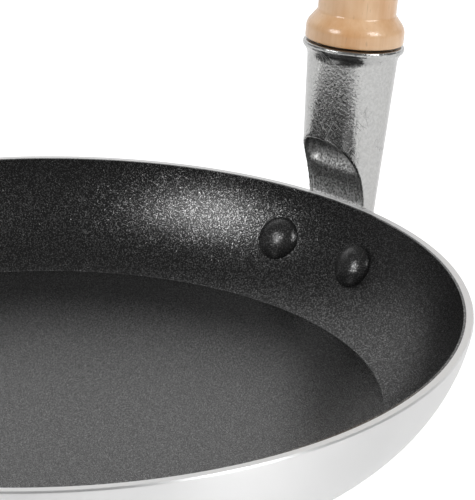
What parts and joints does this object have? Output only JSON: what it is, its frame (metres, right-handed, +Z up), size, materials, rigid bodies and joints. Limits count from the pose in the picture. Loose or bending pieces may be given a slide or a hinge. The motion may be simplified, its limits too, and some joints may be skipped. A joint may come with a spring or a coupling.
{
  "type": "omelette pan",
  "caption": "Shallow round omelette pan with curved walls, a black nonstick lining, and an upright turned wooden grip on a cast socket, with a swinging hanging ring.",
  "frame": {"origin": "centre of the flat underside of the pan, where it rests on the hob", "axes": "+Z up, out of the pan's mouth; +X from the pan's centre towards the handle; +Y to the left of the handle as seen from the pan's centre"},
  "size_m": [0.1907, 0.1648, 0.1849],
  "materials": {
    "spun_aluminium": "satin, turned marks running round the pan, bright machined rim",
    "nonstick_black": "satin black nonstick coating with fine metallic flake",
    "rivet_black": "smooth semi-gloss black coating",
    "cast_aluminium": "tumbled casting, bright with fine pits and scratches",
    "lacquered_beech": "turned, sanded and clear lacquered, fine lengthwise grain",
    "plated_steel": "bright nickel plate"
  },
  "bodies": {
    "pan": {"pan_body": "spun_aluminium", "nonstick_lining": "nonstick_black", "handle_rivet_left": "rivet_black", "handle_rivet_right": "rivet_black", "handle_socket": "cast_aluminium", "wooden_grip": "lacquered_beech", "end_washer": "plated_steel", "eye_bolt": "plated_steel"},
    "ring": {"hanging_ring": "plated_steel"}
  },
  "joints": [
    {"name": "ring_swing", "type": "hinge", "parent": "pan", "child": "ring", "pos_m": [0.09843, 0, 0.17652], "axis": [0, -1, 0], "range_deg": [0, 314]}
  ]
}
